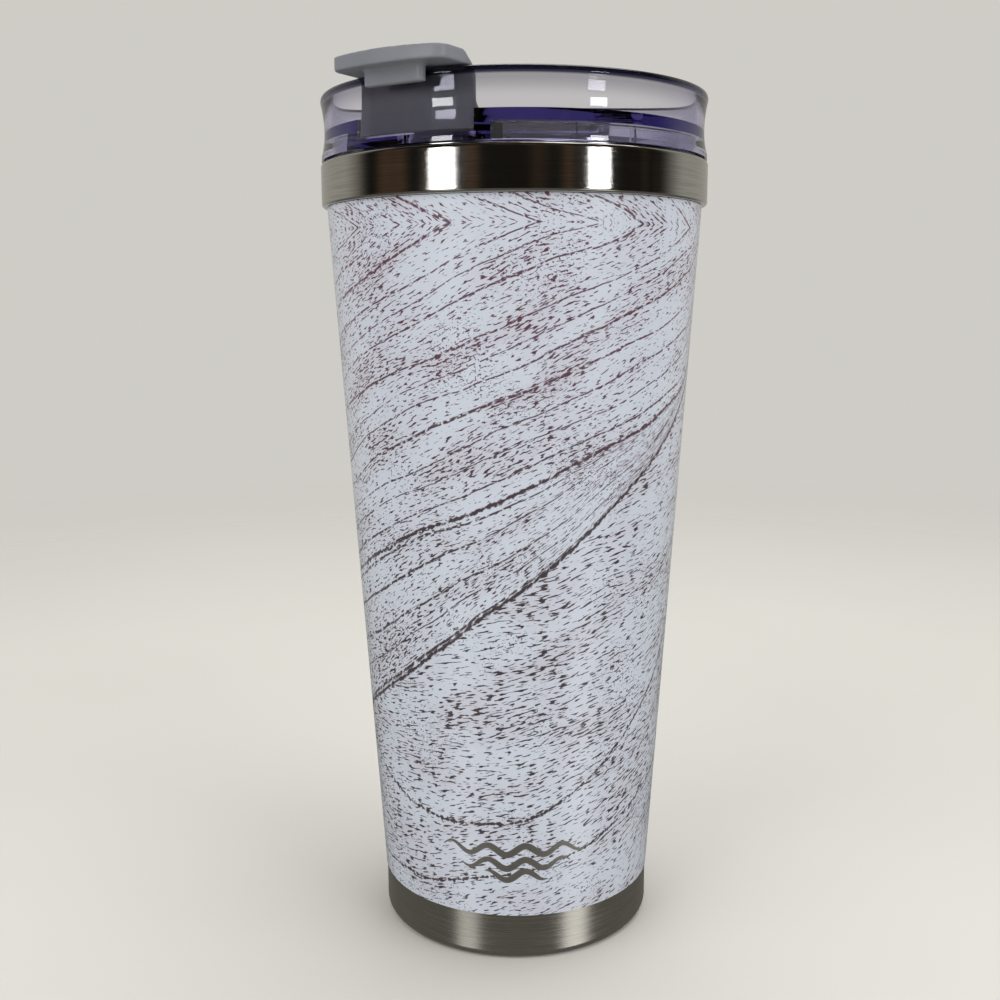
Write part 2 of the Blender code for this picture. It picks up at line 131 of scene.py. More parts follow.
# Camera
VIEW_AZIMUTH = math.radians(30.9)
CAMERA_DISTANCE = 0.28183    # from the mug's axis, level
CAMERA_HEIGHT = 0.14786
CAMERA_PITCH = math.radians(9.394)
CAMERA_YAW = math.radians(-0.737)
CAMERA_ROLL = math.radians(0.279)
CAMERA_LENS_MM = 42.534
TO_CAMERA = Vector((math.sin(VIEW_AZIMUTH), -math.cos(VIEW_AZIMUTH), 0.0))
RIGHT = Vector((math.cos(VIEW_AZIMUTH), math.sin(VIEW_AZIMUTH), 0.0))


# ---------------------------------------------------------------- meshes

def new_object(name, mesh):
    """Object from a bmesh, shaded smooth with its sharp edges kept."""
    data = bpy.data.meshes.new(name)
    mesh.to_mesh(data)
    mesh.free()
    data.shade_smooth()
    data.set_sharp_from_angle(angle=SHARP)
    obj = bpy.data.objects.new(name, data)
    bpy.context.scene.collection.objects.link(obj)
    return obj


def cad_profile(node):
    """A turned CAD node's profile as (radius, height) points, read from its mesh at angle 0."""
    plane_y = axis_y(node)
    mesh = bmesh.new()
    mesh.from_mesh(frame["nodes"][node].data)
    bmesh.ops.remove_doubles(mesh, verts=mesh.verts, dist=WELD)
    links = {}
    for edge in mesh.edges:
        if all(abs(v.co.y - plane_y) < WELD and v.co.x > -WELD for v in edge.verts):
            first, second = edge.verts
            links.setdefault(first, []).append(second)
            links.setdefault(second, []).append(first)
    ends = sorted((v for v in links if len(links[v]) == 1), key=lambda v: -v.co.z)
    walk = [ends[0] if ends else max(links, key=lambda v: (v.co.z, v.co.x))]
    while True:
        ahead = [v for v in links[walk[-1]] if v not in walk]
        if not ahead:
            break
        walk.append(ahead[0])
    points = [Vector((v.co.x, v.co.z)) for v in walk]
    mesh.free()
    if ends:
        points = [Vector((0.0, points[0].y))] * (points[0].x > WELD) + points
        points += [Vector((0.0, points[-1].y))] * (points[-1].x > WELD)
    return points


def axis_y(node):
    """Where a turned node's own vertical axis lies along Y; most are turned about the mug's."""
    if node not in ("cap_stopper", "vent_seal"):
        return 0.0
    low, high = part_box(node)
    return (low.y + high.y) / 2


def rounder(profile, passes=1):
    """The profile with a point added on each short arc segment, bulged to the arc's true curve."""
    for _ in range(passes):
        count = len(profile)
        turns = [0.0] * count
        for i in range(1, count - 1):
            before = profile[i] - profile[i - 1]
            after = profile[i + 1] - profile[i]
            turns[i] = before.angle_signed(after)
        sides = [(profile[i + 1] - profile[i]).length for i in range(count - 1)]
        points = []
        for i in range(count - 1):
            points.append(profile[i])
            a, b = turns[i], turns[i + 1]
            gentle = ARC_TURN[0] < max(abs(a), abs(b)) < ARC_TURN[1]
            flat = sides[i] > FLAT_RATIO * min(sides[max(i - 1, 0):i + 2])
            if gentle and a * b > 0 and not flat:
                step = profile[i + 1] - profile[i]
                bend = a if abs(a) > abs(b) else b
                bulge = Vector((-step.y, step.x)) * (math.tan(bend / 4) / 2)
                points.append((profile[i] + profile[i + 1]) / 2 + bulge)
        points.append(profile[-1])
        profile = points
    return profile


def held(profile):
    """The profile with points near both ends of each long side, which keep its shading flat."""
    points = []
    for start, end in zip(profile, profile[1:]):
        points.append(start)
        side = end - start
        if side.length > LONG_SIDE:
            inset = side.normalized() * HOLD
            points += [start + inset, end - inset]
    return points + [profile[-1]]


def turn(name, profile, centre_y=0.0, segments=FINE):
    """A profile turned about a vertical axis; its ends meet, or both lie on the axis."""
    mesh = bmesh.new()
    rings = []
    for radius, height in profile:
        if radius < WELD:
            rings.append([mesh.verts.new((0.0, centre_y, height))])
            continue
        angles = [math.tau * k / segments for k in range(segments)]
        rings.append([mesh.verts.new((radius * math.cos(a), centre_y + radius * math.sin(a), height))
                      for a in angles])
    pairs = list(zip(rings, rings[1:]))
    if len(rings[0]) > 1:
        pairs.append((rings[-1], rings[0]))
    for upper, lower in pairs:
        for k in range(segments):
            corners = [upper[k % len(upper)], upper[(k + 1) % len(upper)],
                       lower[(k + 1) % len(lower)], lower[k % len(lower)]]
            mesh.faces.new(list(dict.fromkeys(corners)))
    bmesh.ops.recalc_face_normals(mesh, faces=mesh.faces)
    return new_object(name, mesh)


def turned_from(node, name, segments=FINE, passes=1):
    """Fine version of a turned CAD node."""
    return turn(name, held(rounder(cad_profile(node), passes)), axis_y(node), segments)


def prism(name, outline, low, high, soft=0.0, along_x=False):
    """An outline extruded along Z, or along X with along_x, its edges rounded by soft."""
    mesh = bmesh.new()
    corners = [(low, u, v) if along_x else (u, v, low) for u, v in outline]
    face = mesh.faces.new([mesh.verts.new(c) for c in corners])
    grown = bmesh.ops.extrude_face_region(mesh, geom=[face])["geom"]
    shift = (high - low, 0.0, 0.0) if along_x else (0.0, 0.0, high - low)
    moved = [item for item in grown if isinstance(item, bmesh.types.BMVert)]
    bmesh.ops.translate(mesh, vec=shift, verts=moved)
    bmesh.ops.recalc_face_normals(mesh, faces=mesh.faces)
    if soft:
        sharp = [edge for edge in mesh.edges if edge.calc_face_angle() > math.radians(40)]
        bmesh.ops.bevel(mesh, geom=sharp, offset=soft, segments=4, profile=0.5,
                        affect="EDGES", clamp_overlap=True)
    return new_object(name, mesh)


def circle(centre, radius):
    """Outline of a pin, a boss or a hole."""
    angles = [math.tau * k / SMALL for k in range(SMALL)]
    return [(centre[0] + radius * math.cos(a), centre[1] + radius * math.sin(a)) for a in angles]


def applied(obj):
    """Puts an object's modifiers into its mesh."""
    bpy.context.view_layer.update()
    graph = bpy.context.evaluated_depsgraph_get()
    obj.data = bpy.data.meshes.new_from_object(obj.evaluated_get(graph))
    obj.modifiers.clear()
    return obj


def combine(target, *steps):
    """Joins tools to the target or cuts them from it, given as (operation, tool) in order."""
    for operation, tool in steps:
        step = target.modifiers.new(tool.name, "BOOLEAN")
        step.operation = operation
        step.object = tool
        step.solver = "EXACT"
    applied(target)
    for _, tool in steps:
        bpy.data.objects.remove(tool, do_unlink=True)
    target.data.shade_smooth()
    target.data.set_sharp_from_angle(angle=SHARP)
    return target


def softened(node, name, voxel, smoothing):
    """Copy of a CAD node with its edges rounded as moulded plastic is."""
    obj = bpy.data.objects.new(name, frame["nodes"][node].data.copy())
    bpy.context.scene.collection.objects.link(obj)
    weld = obj.modifiers.new("Weld", "WELD")
    weld.merge_threshold = WELD
    remesh = obj.modifiers.new("Voxels", "REMESH")
    remesh.mode = "VOXEL"
    remesh.voxel_size = voxel
    smooth = obj.modifiers.new("Smooth", "SMOOTH")
    smooth.factor = 0.5
    smooth.iterations = smoothing
    applied(obj)
    obj.data.shade_smooth()
    return obj


# ---------------------------------------------------------------- materials

class Graph:
    """A material's node tree, with short calls for the nodes used here."""

    def __init__(self, name):
        self.material = bpy.data.materials.new(name)
        self.material.use_nodes = True
        self.tree = self.material.node_tree
        self.shader = self.tree.nodes["Principled BSDF"]
        self.output = self.tree.nodes["Material Output"]
        self.place = self.node("ShaderNodeTexCoord").outputs["Object"]

    def node(self, kind, **settings):
        made = self.tree.nodes.new(kind)
        for key, value in settings.items():
            setattr(made, key, value)
        return made

    def feed(self, socket, value):
        """Links a socket to another one, or sets its value."""
        if isinstance(value, bpy.types.NodeSocket):
            self.tree.links.new(value, socket)
        elif value is not None:
            socket.default_value = value

    def set(self, **values):
        """Sets the shader's sockets; an underscore in a name stands for a space."""
        for key, value in values.items():
            self.feed(self.shader.inputs[key.replace("_", " ")], value)

    def math(self, operation, a, b=None, c=None, clamp=False):
        made = self.node("ShaderNodeMath", operation=operation, use_clamp=clamp)
        for socket, value in zip(made.inputs, (a, b, c)):
            self.feed(socket, value)
        return made.outputs[0]

    def total(self, *terms):
        result = terms[0]
        for term in terms[1:]:
            result = self.math("ADD", result, term)
        return result

    def dot(self, direction):
        """How far a surface point lies along a fixed direction."""
        made = self.node("ShaderNodeVectorMath", operation="DOT_PRODUCT")
        self.feed(made.inputs[0], self.place)
        made.inputs[1].default_value = direction
        return made.outputs["Value"]

    def vector(self, x, y, z=0.0):
        made = self.node("ShaderNodeCombineXYZ")
        for socket, value in zip(made.inputs, (x, y, z)):
            self.feed(socket, value)
        return made.outputs[0]

    def noise(self, vector, scale, detail=2.0, roughness=0.5, distortion=0.0):
        made = self.node("ShaderNodeTexNoise")
        self.feed(made.inputs["Vector"], vector)
        for key, value in (("Scale", scale), ("Detail", detail), ("Roughness", roughness),
                           ("Distortion", distortion)):
            made.inputs[key].default_value = value
        return made.outputs["Fac"]

    def ramp(self, value, start, end, low=0.0, high=1.0):
        """Smooth step of value, from low at start to high at end."""
        made = self.node("ShaderNodeMapRange", interpolation_type="SMOOTHSTEP")
        for socket, item in zip(made.inputs, (value, start, end, low, high)):
            self.feed(socket, item)
        return made.outputs[0]

    def mix(self, share, a, b):
        """Colour a at share 0 and colour b at share 1."""
        made = self.node("ShaderNodeMix", data_type="RGBA")
        self.feed(made.inputs["Factor"], share)
        for socket, colour in ((made.inputs[6], a), (made.inputs[7], b)):
            self.feed(socket, (*colour, 1.0) if isinstance(colour, tuple) else colour)
        return made.outputs[2]

    def bump(self, height, depth):
        """Relief of the surface: a height between 0 and 1, depth metres deep."""
        made = self.node("ShaderNodeBump")
        self.feed(made.inputs["Height"], height)
        made.inputs["Distance"].default_value = depth
        made.inputs["Strength"].default_value = 1.0
        self.feed(self.shader.inputs["Normal"], made.outputs["Normal"])

    def round_axis(self):
        """(angle from the camera's side, height), for surfaces turned about the mug's axis."""
        across = self.dot(RIGHT)
        forward = self.dot(TO_CAMERA)
        return self.math("ARCTAN2", across, forward), self.dot(UP)


def steel(name, colour, roughness, streak, anisotropic, polish=None):
    """Stainless steel brushed round the mug's axis; streak is the brushing's strength.

    polish is a pair of heights between which brushing gives way to a nearly mirror finish.
    """
    along, across = 2.5, 3800.0      # how often the brushing changes round the axis and up it
    satin, mirror = 0.55, 0.20       # shares of the brushed roughness at the pair's two heights
    g = Graph(name)
    angle, height = g.round_axis()
    angle = g.math("ABSOLUTE", angle)
    lines = g.vector(g.math("MULTIPLY", angle, along), g.math("MULTIPLY", height, across))
    fine = g.noise(lines, 1.0, detail=3.0, roughness=0.65)
    smudge = g.noise(g.place, 45.0, detail=3.0)
    dark = tuple(c * (1.0 - 0.22 * streak) for c in colour)
    g.set(Metallic=1.0, Base_Color=g.mix(g.ramp(fine, 0.3, 0.7), dark, colour))
    brushed = g.ramp(fine, 0.2, 0.8, roughness * 0.8, roughness * 1.25)
    if polish:
        share = g.math("MULTIPLY_ADD", g.ramp(height, *polish), mirror - satin, satin)
        brushed = g.math("MULTIPLY", brushed, share)
    g.set(Roughness=g.math("ADD", brushed, g.ramp(smudge, 0.40, 0.80, 0.0, 0.05)))
    g.set(Anisotropic=anisotropic)
    tangent = g.node("ShaderNodeTangent", direction_type="RADIAL", axis="Z")
    g.feed(g.shader.inputs["Tangent"], tangent.outputs[0])
    g.bump(fine, 0.012 * MM * streak)
    return g.material


def print_film():
    """Pale film printed with flowing wood grain in short mauve-brown dashes.

    All lengths in this function are in millimetres: u runs round the print and z up it. Four
    guide curves cross the print. The grain follows them from the crest upwards, and flows in
    one direction of its own below the crest.
    """
    girth = 240.0            # round the print, so that its mirrored halves meet
    mirror_z = 164.0         # the print mirrors itself about this height
    sway_by = 5.0            # how far the whole pattern wanders up and down
    wobble_by = 0.8          # how far single lines waver
    step = 25.0              # grain levels between two guide curves
    overlap = 4.0            # least height from the crest to the upper curve

    g = Graph("printed_wood_grain")
    angle, height = g.round_axis()
    u = g.math("ADD", g.math("MULTIPLY", angle, girth / math.tau), girth / 4)
    u = g.math("SUBTRACT", g.math("PINGPONG", u, girth / 2), girth / 4)
    z = g.math("MULTIPLY", height, 1000.0)
    z = g.math("SUBTRACT", mirror_z, g.math("ABSOLUTE", g.math("SUBTRACT", z, mirror_z)))
    sway = g.noise(g.vector(u, z), 0.035, detail=1.0)
    z = g.math("ADD", z, g.math("MULTIPLY", g.math("SUBTRACT", sway, 0.5), sway_by))
    spot = g.vector(u, z)

    def curve(start_u, start_z, slope, bend):
        """Height of a curve that leaves (start_u, start_z) with a slope and bends upwards."""
        along = g.math("ADD", u, -start_u)
        rise = g.math("MULTIPLY", g.math("MULTIPLY_ADD", along, bend, slope), along)
        return g.math("ADD", rise, start_z)

    crest = curve(-42.0, 58.0, 0.606, 0.0019)
    upper = g.math("MAXIMUM", curve(-52.0, 86.0, 0.445, 0.0), g.math("ADD", crest, overlap))
    lower = g.math("MAXIMUM", curve(-8.0, 33.2, 0.0, 0.0021), curve(-24.0, 33.0, -0.20, 0.0100))
    lowest = curve(-40.0, 17.0, 0.0, 0.0028)

    def between(low, high):
        """Grain levels from one guide curve to the next."""
        share = g.math("DIVIDE", g.math("SUBTRACT", z, low), g.math("SUBTRACT", high, low), clamp=True)
        return g.math("MULTIPLY", share, step)

    above = g.math("MAXIMUM", g.math("SUBTRACT", z, upper), 0.0)
    below = g.math("MINIMUM", g.math("SUBTRACT", z, lower), 0.0)
    level = g.total(between(lower, crest), between(crest, upper), above, below)

    wobble = g.math("MULTIPLY", g.noise(spot, 0.22, detail=3.0), wobble_by)
    level = g.math("ADD", level, wobble)

    # Below the crest the grain rises steadily to the right, a little steeper the farther it runs
    under = g.math("LESS_THAN", z, crest)
    flow = g.math("SUBTRACT", z, g.math("MULTIPLY", g.math("MULTIPLY_ADD", u, 0.0015, 0.22), u))
    flow = g.math("ADD", flow, wobble)

    def choose(share, a, b):
        """Value a at share 0 and value b at share 1."""
        made = g.node("ShaderNodeMix", data_type="FLOAT")
        sockets = (made.inputs["Factor"], made.inputs["A"], made.inputs["B"])
        for socket, value in zip(sockets, (share, a, b)):
            g.feed(socket, value)
        return made.outputs["Result"]

    def dashes(length, width, across):
        """Noise drawn out round the print, with across as its other direction."""
        place = g.vector(g.math("DIVIDE", u, length), g.math("DIVIDE", across, width))
        return g.noise(place, 1.0, detail=1.5, roughness=0.6)

    # A dash where the grain passes a limit, which is lower inside patches and higher near the foot
    lie = choose(under, level, flow)
    patch = g.vector(g.math("DIVIDE", u, 22.0), g.math("DIVIDE", lie, 9.0))
    patches = g.noise(patch, 1.0, detail=2.0)
    between_patches = g.ramp(z, 80.0, 110.0, 0.595, 0.625)
    limit = g.ramp(patches, 0.34, 0.68, between_patches, 0.535)
    limit = g.math("ADD", limit, g.ramp(z, 38.0, 14.0, 0.0, 0.022))
    grain = choose(under, dashes(1.6, 0.46, level), dashes(2.5, 0.50, flow))
    dash = g.ramp(g.math("SUBTRACT", grain, limit), -0.01, 0.03)

    # Small dots, scattered in some places
    dots = g.noise(spot, 1.9, detail=1.0)
    dotted = g.ramp(g.noise(spot, 0.05, detail=2.0), 0.50, 0.62)
    dot = g.math("MULTIPLY", g.ramp(dots, 0.60, 0.68), dotted)

    # Thin broken lines above the crest, like a tree's rings
    drift = g.vector(g.math("MULTIPLY", u, 0.008), g.math("MULTIPLY", level, 0.10), 7.0)
    drift = g.noise(drift, 1.0, detail=1.0)
    rings = g.math("MULTIPLY_ADD", drift, 1.6, g.math("MULTIPLY", level, 0.18))
    near = g.math("ABSOLUTE", g.math("SUBTRACT", g.math("FRACT", rings), 0.5))
    broken = g.vector(g.math("MULTIPLY", u, 0.9), g.math("MULTIPLY", level, 0.9), 3.0)
    broken = g.noise(broken, 1.0, detail=2.0)
    thin = g.math("MULTIPLY", g.ramp(near, 0.052, 0.020), g.ramp(broken, 0.38, 0.50))
    line = g.math("MULTIPLY", thin, g.math("SUBTRACT", 1.0, under))

    def guide(curve_z, width):
        """A guide curve inked as a rough line, width to each side."""
        away = g.math("ABSOLUTE", g.math("SUBTRACT", z, curve_z))
        rough = g.math("MULTIPLY_ADD", broken, -2.4, 1.2)
        return g.ramp(g.math("ADD", away, rough), width, width * 0.35)

    strong = g.math("MAXIMUM", guide(crest, 0.72), guide(upper, 0.58))
    faint = g.math("MAXIMUM", guide(lower, 0.46), guide(lowest, 0.36))
    ink = dash
    for mark in (dot, line, strong, faint):
        ink = g.math("MAXIMUM", ink, mark, clamp=True)
    haze = g.ramp(patches, 0.35, 0.75)
    paper = g.mix(haze, (0.54, 0.585, 0.675), (0.50, 0.505, 0.585))
    tone = g.mix(g.ramp(z, 90.0, 150.0), (0.052, 0.038, 0.046), (0.105, 0.045, 0.070))
    g.set(Base_Color=g.mix(ink, paper, tone))
    g.set(Roughness=g.ramp(g.noise(g.place, 900.0, detail=2.0), 0.3, 0.7, 0.30, 0.40))
    g.set(Coat_Weight=0.6, Coat_Roughness=0.14)
    relief = g.math("SUBTRACT", g.noise(g.place, 1400.0), g.math("MULTIPLY", ink, 0.4))
    g.bump(relief, 0.02 * MM)
    return g.material


def violet_plastic():
    """Clear moulded plastic whose violet tint deepens with the length of its light's path.

    Its rim and every wall seen edge on get painted shade, nearly black and deeper violet: it stands
    in for light from a long way round that comes out there, which the volume alone doesn't show.
    """
    wall_tint = (0.93, 0.93, 0.955)
    shoulder_tint = (0.68, 0.68, 0.71)
    # Painted shade for walls seen edge on
    edge_on_painted_shade = (0.46, 0.45, 0.66)
    # Painted shade: the rim's top is coloured nearly black
    rim_painted_shade = (0.012, 0.012, 0.035)
    g = Graph("violet_clear_plastic")
    flow = g.noise(g.place, 160.0, detail=2.0)
    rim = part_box("lid_body")[1].z
    height = g.dot(UP)
    shoulder = g.ramp(height, rim - 6.0 * MM, rim - 2.5 * MM)
    # where the rim's painted shade lies
    top = g.ramp(height, rim - 1.5 * MM, rim - 1.0 * MM)
    # Painted shade: a wall seen edge on is coloured a deeper violet, for light from a long way round
    grazing = g.node("ShaderNodeLayerWeight")
    grazing.inputs["Blend"].default_value = 0.5
    edge_on = g.ramp(grazing.outputs["Facing"], 0.25, 0.80)
    tint = g.mix(edge_on, g.mix(shoulder, wall_tint, shoulder_tint), edge_on_painted_shade)
    g.set(Base_Color=g.mix(top, tint, rim_painted_shade), Transmission_Weight=1.0, IOR=1.49)
    g.set(Roughness=g.ramp(flow, 0.3, 0.7, 0.015, 0.04))
    g.bump(flow, 0.01 * MM)
    volume = g.node("ShaderNodeVolumeAbsorption")
    volume.inputs["Color"].default_value = (0.25, 0.19, 0.60, 1.0)
    volume.inputs["Density"].default_value = 58.0
    g.feed(g.output.inputs["Volume"], volume.outputs[0])
    return g.material


def moulded(name, colour, roughness, grain):
    """Opaque moulded plastic or rubber with a fine surface grain."""
    g = Graph(name)
    fine = g.noise(g.place, 2600.0, detail=2.0)
    broad = g.noise(g.place, 60.0, detail=2.0)
    light = tuple(min(1.0, c * 1.10) for c in colour)
    g.set(Base_Color=g.mix(g.ramp(broad, 0.3, 0.7), colour, light))
    g.set(Roughness=g.total(g.ramp(fine, 0.3, 0.7, 0.0, 0.08), roughness))
    g.bump(fine, grain)
    return g.material


def powder_metal():
    """Sintered metal powder of the getter."""
    g = Graph("getter_powder")
    speck = g.noise(g.place, 5200.0, detail=3.0)
    g.set(Base_Color=g.mix(speck, (0.11, 0.10, 0.10), (0.30, 0.28, 0.27)))
    g.set(Metallic=0.7, Roughness=0.75)
    g.bump(speck, 0.08 * MM)
    return g.material


def solder_glass():
    """Dark fused bead that closes the evacuation hole."""
    g = Graph("glass_solder")
    swirl = g.noise(g.place, 900.0, detail=2.0, distortion=0.6)
    g.set(Base_Color=g.mix(swirl, (0.03, 0.04, 0.03), (0.12, 0.13, 0.11)))
    g.set(Roughness=g.ramp(swirl, 0.3, 0.7, 0.12, 0.24))
    return g.material


# ---------------------------------------------------------------- pieces

def show(obj, material, body, slot, *nodes):
    """Finishes a piece: its material, the body it rides and the CAD nodes it stands for; slot is not
    used.
    """
    obj.data.materials.clear()
    obj.data.materials.append(material)
    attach(obj, body)
    if nodes:
        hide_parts(*nodes)


def base_cover():
    """Steel disc under the mug, with a pressed ring."""
    low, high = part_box("base_cover")
    edge = high.x
    soft = 0.30 * MM                 # radius of the disc's lower edge
    cut = 0.09 * MM                  # from its corner in to the middle of that round
    ring = 0.80 * edge
    depth = 0.25 * MM                # of the pressed ring
    half = 0.9 * MM                  # half its width
    slope = (half * 0.5, low.z + depth * 0.8)
    profile = [
        (0.0, high.z), (edge, high.z),
        (edge, low.z + soft), (edge - cut, low.z + cut), (edge - soft, low.z),
        (ring + half, low.z), (ring + slope[0], slope[1]), (ring, low.z + depth),
        (ring - slope[0], slope[1]), (ring - half, low.z), (0.0, low.z),
    ]
    return turn("base_cover_disc", [Vector(p) for p in profile])


def wrap_film():
    """Printed film, drawn out to meet the steel bands above and below it."""
    profile = cad_profile("printed_wrap")
    middle = sum(p.y for p in profile) / len(profile)
    drawn = [Vector((p.x, p.y + math.copysign(FILM_REACH, p.y - middle))) for p in profile]
    return turn("wrap_film", drawn)


def wave_mark():
    """Plain ornament low on the film: steel-coloured waves, one above the other."""
    profile = cad_profile("printed_wrap")
    upper = max(profile, key=lambda p: (p.y, p.x))
    lower = max((p for p in profile if p.y < upper.y / 2), key=lambda p: p.x)
    flare = (upper.x - lower.x) / (upper.y - lower.y)

    def film_radius(height):
        return lower.x + flare * (height - lower.y)

    mesh = bmesh.new()
    for length, lift in WAVES:
        steps = int(length * 4)
        rails = []
        for k in range(steps + 1):
            share = k / steps
            u = (share - 0.5) * length
            phase = u * math.tau / WAVE_PITCH
            height = lower.y + (lift + WAVE_SWING * math.sin(phase)) * MM
            slope = WAVE_SWING * math.cos(phase) * math.tau / WAVE_PITCH
            half = WAVE_HALF * max(math.sin(math.pi * share), WAVE_TIP) ** WAVE_TAPER
            tilt = 1.0 / math.hypot(1.0, slope)
            radius = film_radius(height)
            corners = []
            for side, proud in ((1, -WAVE_SUNK), (1, WAVE_PROUD), (-1, WAVE_PROUD), (-1, -WAVE_SUNK)):
                angle = (u - side * half * slope * tilt) * MM / radius
                out = TO_CAMERA * math.cos(angle) + RIGHT * math.sin(angle)
                up = height + side * half * tilt * MM
                reach = film_radius(up) + proud * MM
                corners.append(mesh.verts.new(out * reach + Vector((0, 0, up))))
            rails.append(corners)
        for one, two in zip(rails, rails[1:]):
            for k in range(4):
                mesh.faces.new([one[k], one[(k + 1) % 4], two[(k + 1) % 4], two[k]])
        mesh.faces.new(rails[0])
        mesh.faces.new(rails[-1][::-1])
    bmesh.ops.recalc_face_normals(mesh, faces=mesh.faces)
    return new_object("wave_ornament", mesh)


def hinge():
    """The cap hinge's point, from the record."""
    return Vector(next(j for j in frame["joints"] if j["name"] == "cap_hinge")["pos_m"])


def front_outline(half_w, front_r, rear_y):
    """Plan outline: an arc of the lid in front, straight sides and a square rear."""
    steps = 24
    reach = math.asin(half_w / front_r)
    turns = [-reach + 2 * reach * k / steps for k in range(steps + 1)]
    front = [(front_r * math.sin(t), -front_r * math.cos(t)) for t in turns]
    return front + [(half_w, rear_y), (-half_w, rear_y)]


def lid_clear():
    """Lid body: collar and floor, with the flip cap's pocket, the two holes and the hinge bosses."""
    cap_low, cap_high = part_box("flip_cap")
    stopper = sum(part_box("cap_stopper"), Vector()) / 2
    vent = sum(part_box("vent_seal"), Vector()) / 2
    pin_low, pin_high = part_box("hinge_pin")
    profile = cad_profile("lid_body")
    floor_underside = profile[-1].y
    inner_r = profile[1].x
    axis = hinge()

    half_w = cap_high.x + POCKET_GAP
    rear_y = cap_high.y + POCKET_REAR
    floor_z = cap_low.z - POCKET_GAP
    tub_low = floor_z - TUB_BOTTOM
    pin_r = (pin_high.z - pin_low.z) / 2

    lid = turn("lid_body_clear", held(rounder(profile)))
    tub = prism("tub", front_outline(half_w + TUB_WALL, inner_r + TUB_LAP[0], rear_y + TUB_WALL),
                tub_low, floor_underside + TUB_LAP[1])
    steps = [("UNION", tub)]
    for side in (-1, 1):
        ends = sorted((side * (half_w - BOSS_PROUD), side * (pin_high.x + BOSS_CAP)))
        boss = prism("boss", circle((axis.y, axis.z), BOSS_R), *ends, BOSS_SOFT, along_x=True)
        steps.append(("UNION", boss))
    pocket = prism("pocket", front_outline(half_w, inner_r - POCKET_FRONT_WALL, rear_y),
                   floor_z, floor_z + POCKET_HEIGHT)
    steps.append(("DIFFERENCE", pocket))
    for name, spot, radius in (("drink", stopper, DRINK_R), ("breath", vent, VENT_R)):
        hole = prism(name, circle((spot.x, spot.y), radius), tub_low - OVERSHOOT, floor_z + OVERSHOOT)
        steps.append(("DIFFERENCE", hole))
    bore = prism("bore", circle((axis.y, axis.z), pin_r + CLEAR), pin_low.x - CLEAR, pin_high.x + CLEAR,
                 along_x=True)
    return combine(lid, *steps, ("DIFFERENCE", bore))


def plug_clear():
    """Clear ring under the lid, notched where the pocket passes, with lugs on its inner wall."""
    cap_low, cap_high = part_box("flip_cap")
    ring = turned_from("plug_ring", "plug_ring_clear")
    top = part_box("plug_ring")[1].z
    inner_r = min(p.x for p in cad_profile("plug_ring"))
    lugs = []
    for azimuth, width in LUGS:
        for side in (-1, 1):
            turn_by = math.radians(side * azimuth)
            out = Vector((math.sin(turn_by), -math.cos(turn_by)))
            along = Vector((-out.y, out.x)) * width * MM / 2
            near, far = out * (inner_r - LUG_PROUD), out * (inner_r + LUG_ROOT)
            corners = [near - along, far - along, far + along, near + along]
            lugs.append(("UNION", prism("lug", corners, top - LUG_DEPTHS[0], top - LUG_DEPTHS[1])))
    half_w = cap_high.x + NOTCH_SIDE
    front, rear = NOTCH_Y
    outline = [(-half_w, front), (half_w, front), (half_w, rear), (-half_w, rear)]
    notch = prism("notch", outline, cap_low.z - NOTCH_DROP, NOTCH_TOP_Z)
    return combine(ring, *lugs, ("DIFFERENCE", notch))


def flip_cap():
    """Grey lever with rounded edges and a slightly crowned lip."""
    cap = softened("flip_cap", "flip_cap_grey", CAP_VOXEL, CAP_SMOOTHING)
    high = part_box("flip_cap")[1]
    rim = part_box("lid_body")[1].z
    for vert in cap.data.vertices:
        share = (vert.co.z - rim - LIP_UNDERSIDE) / (high.z - rim - LIP_UNDERSIDE)
        share = min(1.0, max(0.0, share))
        vert.co.z -= LIP_CROWN * share * (vert.co.x / high.x) ** 2
    return cap


def pin():
    """Hinge pin with rounded ends."""
    low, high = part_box("hinge_pin")
    axis = hinge()
    outline = circle((axis.y, axis.z), (high.z - low.z) / 2)
    return prism("hinge_pin_steel", outline, low.x, high.x, PIN_SOFT, along_x=True)


